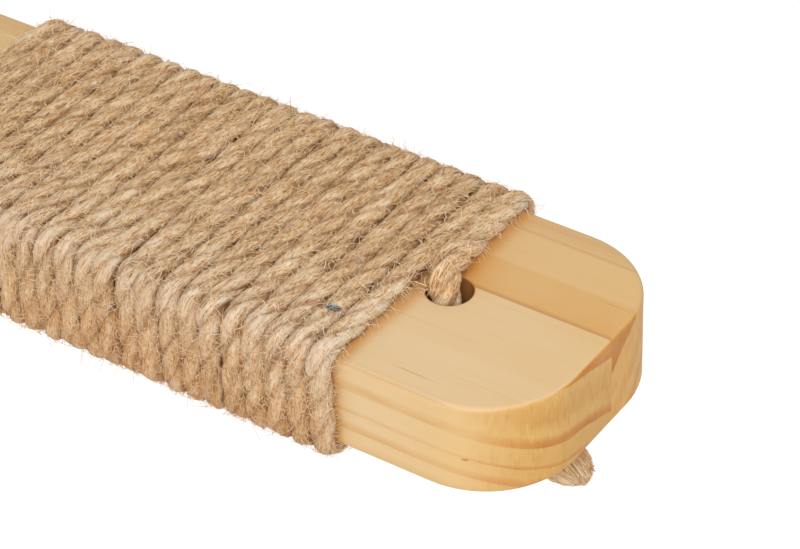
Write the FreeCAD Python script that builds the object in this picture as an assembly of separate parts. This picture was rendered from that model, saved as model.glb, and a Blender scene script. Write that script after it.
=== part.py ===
import FreeCAD, Part
import math
import os

# Cat wall step: a glued pine board held on a concealed steel bracket and wound with jute rope.
# Millimetres. The wall is the plane Y = 0, the step reaches towards -Y and its top face looks up.

# Board
board_length = 300.0
board_width = 100.0
board_thickness = 35.0
free_corner_radius = 34.0
edge_round = 2.0
glue_line_x = 5.5

# Rope, its holes and its winding
rope_diameter = 8.0
pressed_thickness = 5.2
rope_seat_gap = 0.3
turn_gap = 0.55
hole_play = 4.0
hole_rim_round = 0.8
free_hole_inset = 58.4
wall_hole_inset = 21.8
half_run_offset = 6.7
swell_length = 6.0
tail_join_x = 26.0
tail_bend_x = 15.0
tail_straight = 21.5

# Stopper knots under the board, wider than the holes, and the rope's cut ends
knot_overlap = 0.9
knot_groove = 0.8
knot_length = 18.0
knot_seat_gap = 0.3
knot_turn_gap = 0.3
knot_exit_depth = 13.0
free_stub = 2.5
free_end_reach = 20.2
free_end_sway = 1.05
free_end_sink = 3.7
droop_reach = 11.4
droop_sway = 0.95
droop_sink = 3.1
wall_stub = 8.0
wall_stub_dip = math.radians(14.0)
cut_end_length = 16.0
cut_end_swell = 9.0
cut_end_diameter = 15.2
cut_face_diameter = 12.0

# Steel bracket hidden in the wall end
plate_side_margin = 6.0
plate_edge_margin = 5.5
plate_thickness = 5.0
plate_corner_radius = 4.0
plate_clearance = 0.3
rod_diameter = 12.0
rod_length = 120.0
rod_clearance = 0.1
rod_inset = 17.0
rod_tip_chamfer = 1.5
bore_end_room = 2.0
wall_screw_inset = 5.5
wall_screw_hole = 5.0
wall_screw_head = 9.5

# Screws that lock the board on the rods, driven from below
lock_screw_inset = 13.0
lock_screw_diameter = 4.0
lock_screw_head = 8.0
lock_screw_length = 26.0
lock_screw_tip = 4.0
lock_screw_clearance = 0.1
cross_recess_width = 1.2
cross_recess_length = 4.6
cross_recess_depth = 1.6

# Places that follow from the sizes above
half_width = board_width / 2
half_thickness = board_thickness / 2
rope_radius = rope_diameter / 2
hole_radius = rope_radius + hole_play
free_hole_y = -board_length + free_hole_inset
wall_hole_y = -wall_hole_inset
last_run_y = free_hole_y + half_run_offset
first_run_y = wall_hole_y - half_run_offset
wound_length = first_run_y - last_run_y
loops = int(wound_length / (rope_diameter + turn_gap))
pitch = wound_length / loops
pressed_seat = pressed_thickness / 2 + rope_seat_gap
run_z = half_thickness + pressed_seat
side_x = half_width + pressed_seat
wrap_radius = edge_round + pressed_seat
corner_x = side_x - wrap_radius
corner_z = run_z - wrap_radius
pressed_end_x = tail_join_x + swell_length
tail_z = half_thickness + rope_radius + rope_seat_gap
plate_width = board_width - 2 * plate_side_margin
plate_height = board_thickness - 2 * plate_edge_margin
rod_x = plate_width / 2 - rod_inset
wall_screw_x = plate_width / 2 - wall_screw_inset
knot_radius = hole_radius + hole_rim_round + knot_overlap
crossing_angle = 2 * math.atan(pitch / 2 / corner_x)
knot_room = (knot_radius + rope_radius + knot_turn_gap) / math.cos(crossing_angle)
knot_lean = knot_room - half_run_offset - pitch / 2
cut_room = 1.0
gap_step = 2.0
flat_tolerance = 0.01

Vector = FreeCAD.Vector
across = Vector(1, 0, 0)
outwards = Vector(0, -1, 0)
up = Vector(0, 0, 1)
free_end_bend = Vector(free_end_sway, -free_end_reach, -free_end_sink)
free_end_droop = Vector(droop_sway, -droop_reach, -droop_sink)
wall_end_toward = Vector(-math.cos(wall_stub_dip), 0, -math.sin(wall_stub_dip))


def line(a, b):
    return Part.LineSegment(a, b).toShape()


def arc(a, middle, b):
    return Part.Arc(a, middle, b).toShape()


def quarter_arc(a, corner, b):
    # Quarter circle from a to b, tangent to the two lines that cross at the corner
    centre = a + b - corner
    middle = centre + (corner - centre).normalize() * (a - centre).Length
    return arc(a, middle, b)


def face_of(edges):
    return Part.Face(Part.Wire(edges))


def rounded_plate(width, height, thickness, radius):
    # Upright plate against the wall plane, with rounded corners
    x = width / 2
    z = height / 2
    corners = [Vector(-x, 0, -z), Vector(x, 0, -z), Vector(x, 0, z), Vector(-x, 0, z)]
    edges = []
    for index, corner in enumerate(corners):
        before = (corners[index - 1] - corner).normalize() * radius
        after = (corners[(index + 1) % 4] - corner).normalize() * radius
        following = corners[(index + 1) % 4]
        edges.append(quarter_arc(corner + before, corner, corner + after))
        edges.append(line(corner + after, following - after))
    return face_of(edges).extrude(outwards * thickness)


def revolved(profile):
    # Solid of revolution about Z from (radius, height) points
    points = [Vector(r, 0, z) for r, z in profile]
    wire = Part.makePolygon(points + points[:1])
    return Part.Face(wire).revolve(Vector(0, 0, 0), up, 360)


def board_blank():
    # Plan outline with two rounded corners at the free end, its long edges eased
    radius = free_corner_radius
    end = -board_length
    near_corner = Vector(-half_width, end, 0)
    far_corner = Vector(half_width, end, 0)
    near_side = near_corner + Vector(0, radius, 0)
    near_end = near_corner + Vector(radius, 0, 0)
    far_end = far_corner - Vector(radius, 0, 0)
    far_side = far_corner + Vector(0, radius, 0)
    near_wall = Vector(-half_width, 0, 0)
    far_wall = Vector(half_width, 0, 0)
    outline = [
        line(near_wall, near_side),
        quarter_arc(near_side, near_corner, near_end),
        line(near_end, far_end),
        quarter_arc(far_end, far_corner, far_side),
        line(far_side, far_wall),
        line(far_wall, near_wall),
    ]
    blank = face_of(outline).extrude(up * board_thickness)
    blank.translate(-up * half_thickness)
    eased = [edge for edge in blank.Edges if is_eased(edge)]
    return blank.makeFillet(edge_round, eased)


def is_eased(edge):
    # Edges of the two broad faces, apart from those on the wall
    box = edge.BoundBox
    level = box.ZLength < flat_tolerance
    on_wall = box.YMin > -flat_tolerance
    return level and not on_wall


def rope_hole(y):
    # Drilled hole through the board with both rims broken
    wide = hole_radius + hole_rim_round
    rim = half_thickness
    shoulder = rim - hole_rim_round
    top_rim = Vector(wide, 0, rim)
    top_wall = Vector(hole_radius, 0, shoulder)
    low_wall = Vector(hole_radius, 0, -shoulder)
    low_rim = Vector(wide, 0, -rim)
    over = Vector(0, 0, cut_room)
    middle = Vector(wide, 0, 0) - Vector(1, 0, 0) * hole_rim_round * math.sqrt(0.5)
    rise = up * (shoulder + hole_rim_round * math.sqrt(0.5))
    edges = [
        line(Vector(0, 0, -rim) - over, low_rim - over),
        line(low_rim - over, low_rim),
        arc(low_rim, middle - rise, low_wall),
        line(low_wall, top_wall),
        arc(top_wall, middle + rise, top_rim),
        line(top_rim, top_rim + over),
        line(top_rim + over, Vector(0, 0, rim) + over),
        line(Vector(0, 0, rim) + over, Vector(0, 0, -rim) - over),
    ]
    cutter = face_of(edges).revolve(Vector(0, 0, 0), up, 360)
    cutter.translate(Vector(0, y, 0))
    return cutter


def rod_bore(x):
    depth = rod_length + bore_end_room
    radius = rod_diameter / 2 + rod_clearance
    return Part.makeCylinder(radius, depth, Vector(x, -plate_thickness, 0), outwards)


def plate_recess():
    grow = 2 * plate_clearance
    radius = plate_corner_radius + plate_clearance
    recess = rounded_plate(plate_width + grow, plate_height + grow, plate_thickness + cut_room, radius)
    recess.translate(-outwards * cut_room)
    return recess


def lock_screw_blank(clearance):
    # Countersunk screw, head flush with the underside and point up, or the hole that takes it
    head = lock_screw_head / 2 + clearance
    shank = lock_screw_diameter / 2 + clearance
    length = lock_screw_length + clearance
    neck = head - shank
    profile = [
        (0, 0),
        (head, 0),
        (shank, neck),
        (shank, length - lock_screw_tip),
        (0, length),
    ]
    return revolved(profile)


def lock_screw_place(x):
    return Vector(x, -lock_screw_inset, -half_thickness)


def lock_screw_hole(x):
    hole = lock_screw_blank(lock_screw_clearance)
    hole.translate(lock_screw_place(x))
    return hole


def lock_screw(x):
    screw = lock_screw_blank(0)
    arm = cross_recess_length / 2
    half = cross_recess_width / 2
    for turn in (0, 90):
        slot = Part.makeBox(2 * arm, 2 * half, cross_recess_depth, Vector(-arm, -half, 0))
        slot.rotate(Vector(0, 0, 0), up, turn)
        screw = screw.cut(slot)
    screw.translate(lock_screw_place(x))
    return screw


def staves():
    # The board is glued from two staves that meet on one plane
    cuts = [rope_hole(free_hole_y), rope_hole(wall_hole_y), plate_recess()]
    for x in (-rod_x, rod_x):
        cuts.append(rod_bore(x))
        cuts.append(lock_screw_hole(x))
    board = board_blank()
    for cutter in cuts:
        board = board.cut(cutter)
    low = Vector(glue_line_x - board_width, -board_length - cut_room, -board_thickness)
    half = Part.makeBox(board_width, board_length + 2 * cut_room, 2 * board_thickness, low)
    wide = board.common(half)
    narrow = board.cut(half)
    return wide.Solids[0], narrow.Solids[0]


def wall_plate():
    # Steel plate let flush into the wall end, with two countersunk screw holes
    plate = rounded_plate(plate_width, plate_height, plate_thickness, plate_corner_radius)
    hole = wall_screw_hole / 2
    head = wall_screw_head / 2
    sink = head - hole
    for x in (-wall_screw_x, wall_screw_x):
        drill = Part.makeCylinder(hole, plate_thickness, Vector(x, 0, 0), outwards)
        cone = Part.makeCone(hole, head, sink, Vector(x, sink - plate_thickness, 0), outwards)
        plate = plate.cut(drill).cut(cone)
    return plate


def support_rod(x):
    # Round bar welded to the plate, cross-drilled for its locking screw
    radius = rod_diameter / 2
    body = rod_length - rod_tip_chamfer
    start = Vector(x, -plate_thickness, 0)
    tip = start + outwards * body
    rod = Part.makeCylinder(radius, body, start, outwards)
    point = Part.makeCone(radius, radius - rod_tip_chamfer, rod_tip_chamfer, tip, outwards)
    return rod.fuse(point).removeSplitter().cut(lock_screw_hole(x)).Solids[0]


def underside_crossing(y):
    # Two arcs that carry the rope across the underside and one pitch towards the free end
    half_step = pitch / 2
    radius = (corner_x ** 2 + half_step ** 2) / (2 * half_step)
    turn = math.asin(corner_x / radius) / 2
    start = Vector(-corner_x, y, -run_z)
    centre = Vector(0, y - half_step, -run_z)
    end = Vector(corner_x, y - pitch, -run_z)
    bow = Vector(radius * math.sin(turn), radius * (math.cos(turn) - 1), 0)
    return [arc(start, start + bow, centre), arc(centre, end - bow, end)]


def side_run(side, y, direction):
    # Up or down one side of the board, with a quarter turn round each of its edges
    top = Vector(side * corner_x, y, run_z)
    top_side = Vector(side * side_x, y, corner_z)
    top_corner = Vector(side * side_x, y, run_z)
    low = Vector(side * corner_x, y, -run_z)
    low_side = Vector(side * side_x, y, -corner_z)
    low_corner = Vector(side * side_x, y, -run_z)
    if direction < 0:
        return [
            quarter_arc(top, top_corner, top_side),
            line(top_side, low_side),
            quarter_arc(low_side, low_corner, low),
        ]
    return [
        quarter_arc(low, low_corner, low_side),
        line(low_side, top_side),
        quarter_arc(top_side, top_corner, top),
    ]


def winding_path():
    # From the wall end's half run to the free end's, once round the board in each loop
    edges = [line(Vector(-pressed_end_x, first_run_y, run_z), Vector(-corner_x, first_run_y, run_z))]
    for loop in range(loops):
        y = first_run_y - loop * pitch
        next_y = y - pitch
        edges += side_run(-1, y, -1)
        edges += underside_crossing(y)
        edges += side_run(1, next_y, 1)
        last = loop == loops - 1
        stop_x = pressed_end_x if last else -corner_x
        edges.append(line(Vector(corner_x, next_y, run_z), Vector(stop_x, next_y, run_z)))
    return Part.Wire(edges)


def rounded_route(points):
    # Straight runs joined by arcs as large as the runs beside each point allow
    edges = []
    start = points[0]
    for before, point, after in zip(points, points[1:], points[2:]):
        arriving = (point - before).normalize()
        leaving = (after - point).normalize()
        turn = arriving.getAngle(leaving)
        reach = 0.45 * min((point - before).Length, (after - point).Length)
        radius = reach / math.tan(turn / 2)
        print("rope bend radius %.1f mm over %.0f degrees" % (radius, math.degrees(turn)))
        arc_start = point - arriving * reach
        arc_end = point + leaving * reach
        inward = (leaving - arriving).normalize()
        middle = point + inward * (radius / math.cos(turn / 2) - radius)
        edges.append(line(start, arc_start))
        edges.append(arc(arc_start, middle, arc_end))
        start = arc_end
    edges.append(line(start, points[-1]))
    return Part.Wire(edges)


def round_section(centre, direction):
    return Part.Wire(Part.makeCircle(rope_radius, centre, direction))


def pressed_section(centre):
    # The rope drawn tight round the board: its full width along the board, flattened against it
    wide = centre + outwards * rope_radius
    high = centre + up * (pressed_thickness / 2)
    return Part.Wire(Part.Ellipse(wide, high, centre).toShape())


def rope_tube(path, section):
    # Rope section carried along the path, with its volume set against section times length
    tube = path.makePipeShell([section], True, False)
    share = tube.Volume / (Part.Face(section).Area * path.Length)
    print("tube length %.1f mm, volume over section times length %.4f" % (path.Length, share))
    return tube


def rope_tail(route, side):
    # The rope swells from its pressed run to its round tail
    start = route[0]
    pressed_end = Vector(side * pressed_end_x, start.y, run_z)
    swell = Part.makeLoft([pressed_section(pressed_end), round_section(start, across)], True)
    tube = rope_tube(rounded_route(route), round_section(start, across))
    return tube.fuse(swell).removeSplitter().Solids[0]


def least_gap(path):
    # Smallest clear distance between stretches of the winding that aren't neighbours along it
    points = path.discretize(Distance=gap_step)
    apart = int(2 * wrap_radius * math.pi / gap_step)
    reach = int(2 * path.Length / loops / gap_step)
    least = path.Length
    for index, point in enumerate(points):
        for other in points[index + apart:index + reach]:
            least = min(least, point.distanceToPoint(other))
    return least - rope_diameter


def tail_route(hole_y, side):
    # From the winding's end over the top face and down through the hole onto the knot
    run_y = hole_y + side * half_run_offset
    knot_y = hole_y - side * knot_lean
    return [
        Vector(side * tail_join_x, run_y, tail_z),
        Vector(side * tail_bend_x, run_y, tail_z),
        Vector(0, hole_y, tail_z),
        Vector(0, knot_y, tail_straight - half_thickness),
        Vector(0, knot_y, -half_thickness - knot_seat_gap),
    ]


def free_end_route(knot_top, toward):
    # From the knot's stub under the board towards the free end, drooping a little
    centre = knot_top - up * knot_exit_depth
    return [
        centre + toward * (knot_radius + free_stub),
        centre + free_end_bend,
        centre + free_end_bend + free_end_droop,
    ]


def stopper_knot(knot_top, toward, stub):
    # Two wraps of rope drawn up under the board, with the rope's end leaving the lower one
    wrap = knot_length / 2
    waist = knot_radius - knot_groove
    rim = Vector(waist, 0, 0)
    middle = Vector(waist, 0, -wrap)
    low = Vector(waist, 0, -knot_length)
    axis_low = Vector(0, 0, -knot_length)
    edges = [
        line(Vector(0, 0, 0), rim),
        arc(rim, Vector(knot_radius, 0, -wrap / 2), middle),
        arc(middle, Vector(knot_radius, 0, -1.5 * wrap), low),
        line(low, axis_low),
        line(axis_low, Vector(0, 0, 0)),
    ]
    knot = face_of(edges).revolve(Vector(0, 0, 0), up, 360)
    knot.translate(knot_top)
    centre = knot_top - up * knot_exit_depth
    end = Part.makeCylinder(rope_radius, knot_radius + stub, centre, toward)
    return knot.fuse(end).removeSplitter().Solids[0]


def cut_end(route):
    # The rope's last stretch, where the strands have come apart and swell up to the cut
    swell = Vector(cut_end_diameter / 2, 0, cut_end_swell)
    inlet = Vector(rope_radius, 0, 0)
    rim = Vector(cut_face_diameter / 2, 0, cut_end_length)
    face = Vector(0, 0, cut_end_length)
    edges = [
        line(Vector(0, 0, 0), inlet),
        arc(inlet, swell, rim),
        line(rim, face),
        line(face, Vector(0, 0, 0)),
    ]
    end = face_of(edges).revolve(Vector(0, 0, 0), up, 360)
    direction = (route[-1] - route[-2]).normalize()
    end.Placement = FreeCAD.Placement(route[-1], FreeCAD.Rotation(up, direction))
    return end


def build():
    path = winding_path()
    print("%d loops at %.2f mm, least gap %.2f mm" % (loops, pitch, least_gap(path)))
    free_tail = tail_route(free_hole_y, 1)
    wall_tail = tail_route(wall_hole_y, -1)
    free_toward = Vector(free_end_bend).normalize()
    free_end = free_end_route(free_tail[-1], free_toward)
    wide, narrow = staves()
    return {
        "board_stave_wide": wide,
        "board_stave_narrow": narrow,
        "rope_winding": rope_tube(path, pressed_section(path.OrderedVertexes[0].Point)),
        "rope_tail_free_end": rope_tail(free_tail, 1),
        "rope_knot_free_end": stopper_knot(free_tail[-1], free_toward, free_stub),
        "rope_free_stretch": rope_tube(rounded_route(free_end), round_section(free_end[0], free_toward)),
        "rope_cut_end": cut_end(free_end),
        "rope_tail_wall_end": rope_tail(wall_tail, -1),
        "rope_knot_wall_end": stopper_knot(wall_tail[-1], wall_end_toward, wall_stub),
        "wall_plate": wall_plate(),
        "support_rod_left": support_rod(-rod_x),
        "support_rod_right": support_rod(rod_x),
        "lock_screws": Part.makeCompound([lock_screw(-rod_x), lock_screw(rod_x)]),
    }


os.makedirs("parts", exist_ok=True)
for name, shape in build().items():
    shape.exportStep("parts/%s.step" % name)
    print(name, shape.isValid(), len(shape.Solids), round(shape.Volume, 1))
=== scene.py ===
import math
import random

import bpy
import numpy as np
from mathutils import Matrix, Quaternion, Vector


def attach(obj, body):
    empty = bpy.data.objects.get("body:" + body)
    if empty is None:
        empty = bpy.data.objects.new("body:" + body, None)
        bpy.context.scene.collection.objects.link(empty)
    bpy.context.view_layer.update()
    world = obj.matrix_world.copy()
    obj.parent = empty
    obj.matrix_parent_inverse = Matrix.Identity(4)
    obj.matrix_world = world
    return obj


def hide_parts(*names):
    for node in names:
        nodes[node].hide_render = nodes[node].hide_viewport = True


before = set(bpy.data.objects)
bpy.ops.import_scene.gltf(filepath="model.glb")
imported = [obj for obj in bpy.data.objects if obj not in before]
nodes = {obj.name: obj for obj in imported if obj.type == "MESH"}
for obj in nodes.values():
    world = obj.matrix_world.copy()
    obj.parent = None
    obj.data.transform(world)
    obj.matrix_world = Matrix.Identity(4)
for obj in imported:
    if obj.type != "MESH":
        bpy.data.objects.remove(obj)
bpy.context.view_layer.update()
scene = bpy.context.scene
scene.view_settings.view_transform = "Standard"
print("frame:", len(nodes), "nodes")

# camera, fitted to the outline of the board's free end
cameraView = {
    "place": (-0.7102, -0.7243, 0.7000),
    "azimuth": -54.73, "elevation": 38.19, "roll": -2.09,
    "lens": 151.4, "sensor": 36, "nearest": 0.05,
}


def addTurned(name, data, place, towards, roll=0.0):
    # a camera or a lamp that looks in one direction
    made = bpy.data.objects.new(name, data)
    made.location = place
    made.rotation_mode = "QUATERNION"
    made.rotation_quaternion = towards.to_track_quat("-Z", "Y") @ Quaternion((0, 0, 1), roll)
    scene.collection.objects.link(made)
    return made


def addCamera(view):
    turn = math.radians(view["azimuth"])
    drop = math.radians(view["elevation"])
    look = Vector((-math.sin(turn) * math.cos(drop), math.cos(turn) * math.cos(drop), -math.sin(drop)))
    data = bpy.data.cameras.new("stepCamera")
    data.lens = view["lens"]
    data.sensor_width = view["sensor"]
    data.clip_start = view["nearest"]
    scene.camera = addTurned("stepCamera", data, view["place"], look, math.radians(view["roll"]))


addCamera(cameraView)
print("camera: lens", cameraView["lens"])


# shader sums: a socket that adds, multiplies and so on
class Wire:
    def __init__(self, tree, socket=None):
        self.tree = tree
        self.socket = socket

    def node(self, kind, settings=None, inputs=None, out=0):
        made = self.tree.nodes.new("ShaderNode" + kind)
        for name, value in (settings or {}).items():
            if name == "stops":
                setStops(made.color_ramp, value)
            else:
                setattr(made, name, value)
        for name, value in (inputs or {}).items():
            if isinstance(value, Wire):
                self.tree.links.new(value.socket, made.inputs[name])
            else:
                made.inputs[name].default_value = value
        return Wire(self.tree, made.outputs[out])

    def other(self, out):
        return Wire(self.tree, self.socket.node.outputs[out])

    def maths(self, operation, first, second=0.0):
        return self.node("Math", {"operation": operation}, {0: first, 1: second})

    def __add__(self, value):
        return self.maths("ADD", self, value)

    __radd__ = __add__

    def __sub__(self, value):
        return self.maths("SUBTRACT", self, value)

    def __rsub__(self, value):
        return self.maths("SUBTRACT", value, self)

    def __mul__(self, value):
        return self.maths("MULTIPLY", self, value)

    __rmul__ = __mul__

    def __truediv__(self, value):
        return self.maths("DIVIDE", self, value)

    def __pow__(self, value):
        return self.maths("POWER", self, value)

    def __abs__(self):
        return self.maths("ABSOLUTE", self)

    def rise(self, low, high):             # 0 below low, 1 above high, smooth between
        settings = {"interpolation_type": "SMOOTHSTEP"}
        return self.node("MapRange", settings, {0: self, 1: low, 2: high, 3: 0.0, 4: 1.0})

    def fall(self, low, high):             # 1 below low, 0 above high
        return 1 - self.rise(low, high)

    def blend(self, first, second):        # this socket is the share of the second colour
        return self.node("Mix", {"data_type": "RGBA"}, {0: self, 6: first, 7: second}, out=2)


def setStops(ramp, stops):
    while len(ramp.elements) < len(stops):
        ramp.elements.new(1.0)
    for element, (place, colour) in zip(ramp.elements, stops):
        element.position = place
        element.color = colour


def tint(red, green, blue):                # screen colour to the shader's own
    shares = [value / 255 for value in (red, green, blue)]
    return tuple(s / 12.92 if s < 0.04045 else ((s + 0.055) / 1.055) ** 2.4 for s in shares) + (1.0,)


def grey(value):
    return (value, value, value, 1.0)


def newFinish(name, fixed):
    material = bpy.data.materials.new(name)
    material.use_nodes = True
    tree = material.node_tree
    shader = tree.nodes["Principled BSDF"]
    for socket, value in fixed.items():
        shader.inputs[socket].default_value = value
    return material, Wire(tree), shader


def feed(shader, socket, wire):
    wire.tree.links.new(wire.socket, shader.inputs[socket])


def feedBump(shader, height, strength, distance):
    inputs = {"Strength": strength, "Distance": distance, "Height": height}
    feed(shader, "Normal", height.node("Bump", inputs=inputs))


def objectPlace(base):
    x = base.node("SeparateXYZ", inputs={0: base.node("TexCoord", out="Object")})
    return x, x.other(1), x.other(2)


def mapPlace(base, title):
    u = base.node("SeparateXYZ", inputs={0: base.node("UVMap", {"uv_map": title})})
    return u, u.other(1)


def noiseSet(base, place, table):
    # noises by name, from cycles in a metre along three directions, detail and roughness
    found = {}
    for title, (*cycles, detail, roughness) in table.items():
        parts = {axis: part * scale for axis, (part, scale) in enumerate(zip(place, cycles))}
        inputs = {"Vector": base.node("CombineXYZ", inputs=parts), "Scale": 1.0}
        inputs.update({"Detail": detail, "Roughness": roughness})
        found[title] = base.node("TexNoise", inputs=inputs)
    return found


# the board, in metres
board = {"halfWide": 0.05, "halfHigh": 0.0175, "length": 0.3, "middle": 0.1317,
         "boreRadius": 0.008, "boreFromMiddle": 0.1099}


def fromRope(base, x, y):
    # metres from the board's middle, less the lead of the rope's last turns at each end
    middle = y + board["middle"]
    turned = x * base.maths("SIGN", middle) * -1
    return abs(middle) - turned.rise(-0.010, 0.006) * 0.0086 - turned.rise(-0.045, -0.005) * 0.0016


# pine: growth rings round each stave's own heart, strong on end grain and weak along the grain
# ring: mm from the heart to its lower edge, darkness, how far it fades outwards, how soft the edge is
# line: X, then from and to which distance from the wall it runs on the broad faces, darkness, width, in mm
# droop: X where the rings start to sink, over which distance, by how much, in mm
wideStave = {
    "heart": (-36.4, -138),
    "rings": [(92.0, 0.65, 5.0, 0.4), (100.2, 0.85, 3.6, 0.4), (107.6, 0.75, 1.6, 0.3),
              (116.5, 0.92, 4.6, 0.5), (127.0, 0.4, 9.0, 4.0), (138.0, 1.0, 24.0, 0.4)],
    "span": (86, 152),
    "droop": (-20, 30, 12.0),
    "lines": [(-41.4, 245, 267, 0.45, 0.45), (-12.0, 262, 276, 0.15, 0.6), (-49.0, 60, 290, 0.3, 0.8)],
    "earlyLong": tint(228, 196, 149), "lateLong": tint(213, 160, 88),
    "earlyEnd": tint(215, 169, 99), "lateEnd": tint(193, 108, 14),
    "lowEndShade": 0.26, "sideShare": 0.68, "topShare": 0.1,
    "speck": (-0.0477, -0.2783, -0.0035),
}
narrowStave = {
    "heart": (74.8, -83),
    "rings": [(75.0, 0.45, 4.0, 2.0), (84.0, 0.25, 5.0, 2.0), (98.5, 1.0, 40.0, 0.8)],
    "span": (60, 112),
    "droop": None,
    "lines": [(40.2, 235, 296, 0.3, 1.0), (21.0, 284, 300, 0.5, 0.5), (5.6, -10, 310, 0.55, 2.2),
              (46.0, -10, 310, 0.22, 9.0)],
    "earlyLong": tint(221, 184, 128), "lateLong": tint(216, 160, 86),
    "earlyEnd": tint(221, 165, 99), "lateEnd": tint(186, 108, 20),
    "lowEndShade": 0.0, "sideShare": 0.5, "topShare": 0.75,
    "speck": None,
}
# both staves; amount: the noise where a layer starts, where it is full, its largest share
pine = {
    "bump": (0.35, 0.00012),
    "noises": {
        "slow": (9, 6, 9, 1.0, 0.5), "quick": (110, 24, 110, 2.0, 0.5),
        "patchy": (70, 40, 160, 2.0, 0.5), "cloud": (30, 10, 30, 2.0, 0.5),
        "streak": (520, 9, 520, 3.0, 0.6), "thread": (1500, 34, 1500, 1.0, 0.5),
        "saw": (1100, 1100, 190, 2.0, 0.5), "blotch": (330, 330, 150, 3.0, 0.6),
    },
    "amounts": {
        "patchy": (0.3, 0.7, 0.8), "cloud": (0.45, 0.7, 0.3), "streak": (0.5, 0.72, 0.1),
        "thread": (0.6, 0.76, 0.08), "saw": (0.52, 0.75, 0.3), "blotch": (0.48, 0.72, 0.52),
    },
    "colours": {
        "cloud": tint(224, 178, 112), "grain": tint(196, 146, 92), "blotch": tint(186, 122, 62),
        "saw": tint(176, 112, 56), "pale": tint(234, 194, 132), "gold": tint(222, 176, 94),
        "lowEndShade": tint(196, 134, 70), "line": tint(176, 122, 62), "speck": tint(176, 96, 38),
        "ropeShade": tint(212, 150, 72), "boreShade": tint(146, 80, 38),
    },
}


def ringStops(stave):
    low, high = stave["span"]
    places = []
    for edge, strength, fade, soft in stave["rings"]:
        places += [edge - soft, edge, edge + 0.35 * fade, edge + 0.7 * fade, edge + fade]

    def darkness(place):
        found = 0.0
        for edge, strength, fade, soft in stave["rings"]:
            inner = strength * (place - edge + soft) / soft
            outer = strength * (1 - (max(place - edge, 0) / fade) ** 2)
            found = max(found, min(inner, outer))
        return found

    stops = [(0.0, grey(0.0))]
    for place in sorted(places):
        if low < place < high:
            stops.append(((place - low) / (high - low), grey(darkness(place))))
    return stops


def ringDarkness(base, stave, x, z, grain):
    # by the distance from the heart in mm, a little uneven along the board
    across = x * 1000 - stave["heart"][0]
    upwards = z * 1000 - board["halfHigh"] * 1000 - stave["heart"][1]
    ring = (across * across + upwards * upwards) ** 0.5
    ring = ring + (grain["slow"] - 0.5) * 2.0 + (grain["quick"] - 0.5) * 1.1
    if stave["droop"]:
        start, over, depth = stave["droop"]
        outer = base.maths("MAXIMUM", (x * 1000 - start) / -over, 0.0)
        ring = ring - outer * outer * depth
    low, high = stave["span"]
    late = base.node("ValToRGB", {"stops": ringStops(stave)}, {0: (ring - low) / (high - low)})
    return base.node("SeparateColor", inputs={0: late})


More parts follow.
